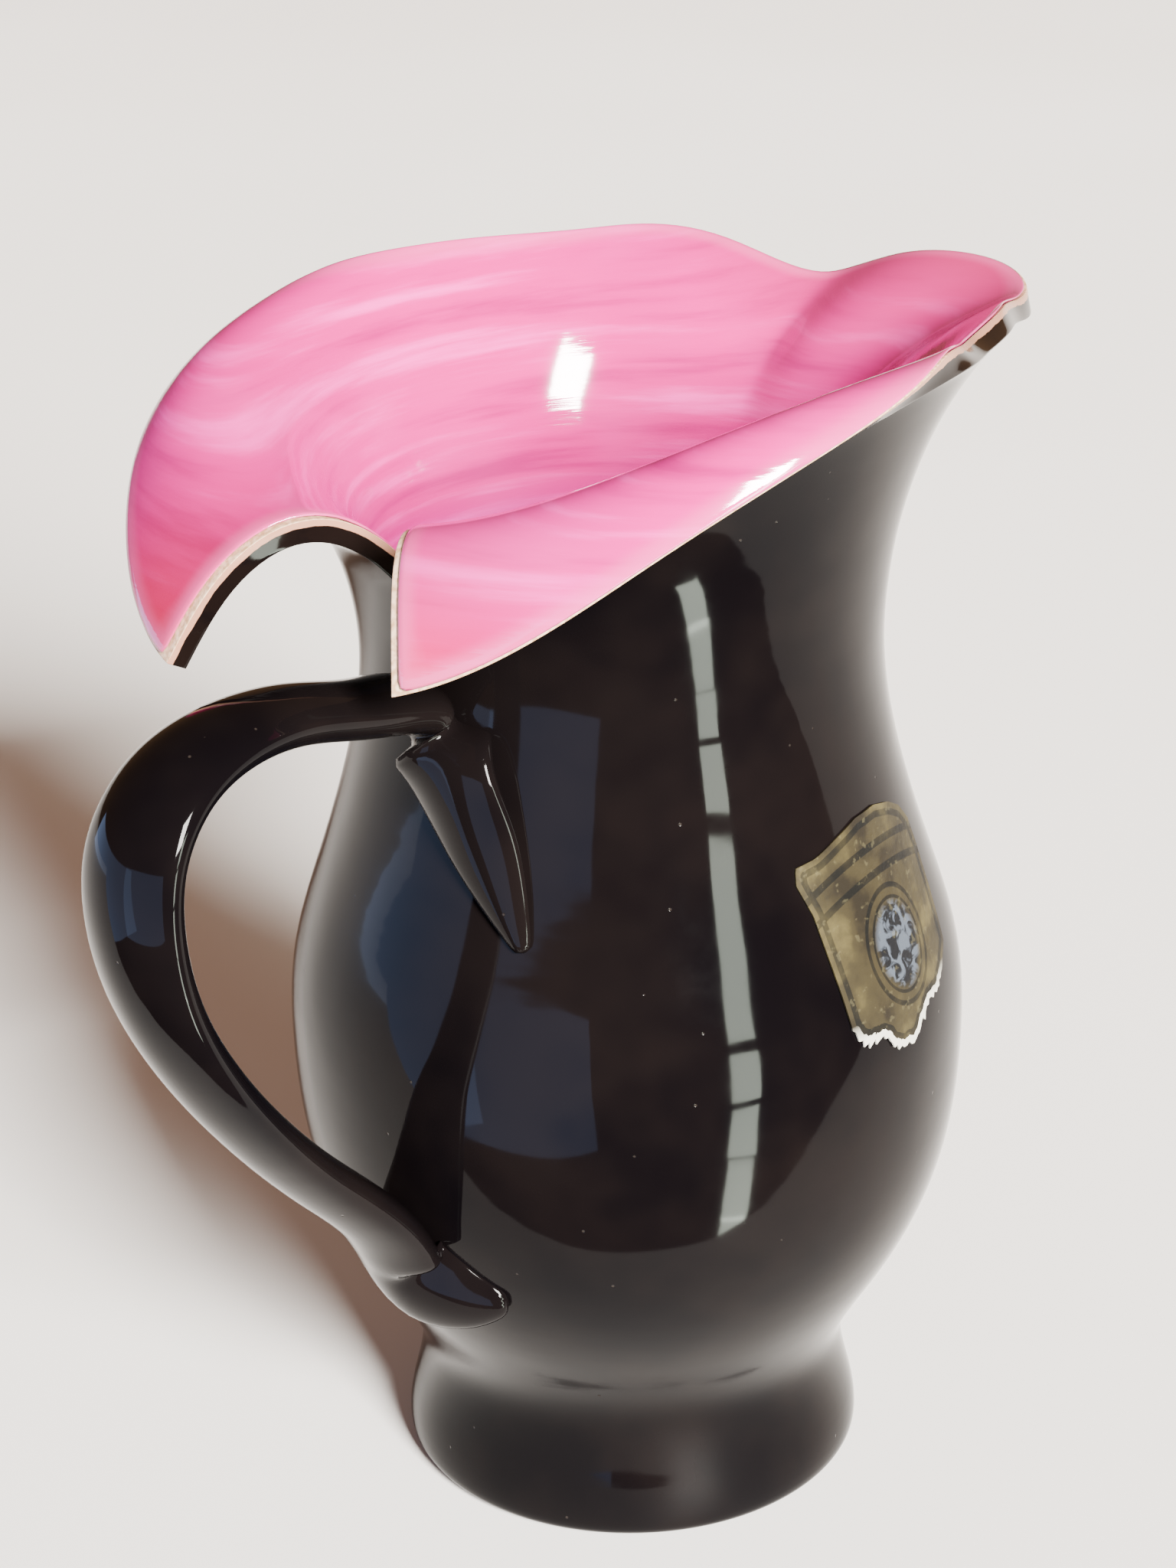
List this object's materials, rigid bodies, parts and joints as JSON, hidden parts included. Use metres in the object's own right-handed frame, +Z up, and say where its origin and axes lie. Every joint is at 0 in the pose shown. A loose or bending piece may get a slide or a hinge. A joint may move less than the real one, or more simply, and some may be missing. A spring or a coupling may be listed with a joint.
{
  "type": "oinochoe jug",
  "caption": "Glazed earthenware pitcher, black outside and pink inside, with a drawn spout, drooping lobes beside a looped strap handle and a small paper label.",
  "frame": {"origin": "middle of the flat base, on the floor", "axes": "+X from the handle to the spout, +Z up the axis of the turned body, +Y to the left seen along +X"},
  "size_m": [0.214, 0.1288, 0.2099],
  "materials": {
    "black_glaze": "gloss",
    "pink_glaze": "gloss",
    "gold_paper": "satin"
  },
  "bodies": {
    "root": {"clay_body": "black_glaze", "handle": "black_glaze", "pink_lining": "pink_glaze", "paper_label": "gold_paper"}
  },
  "joints": []
}
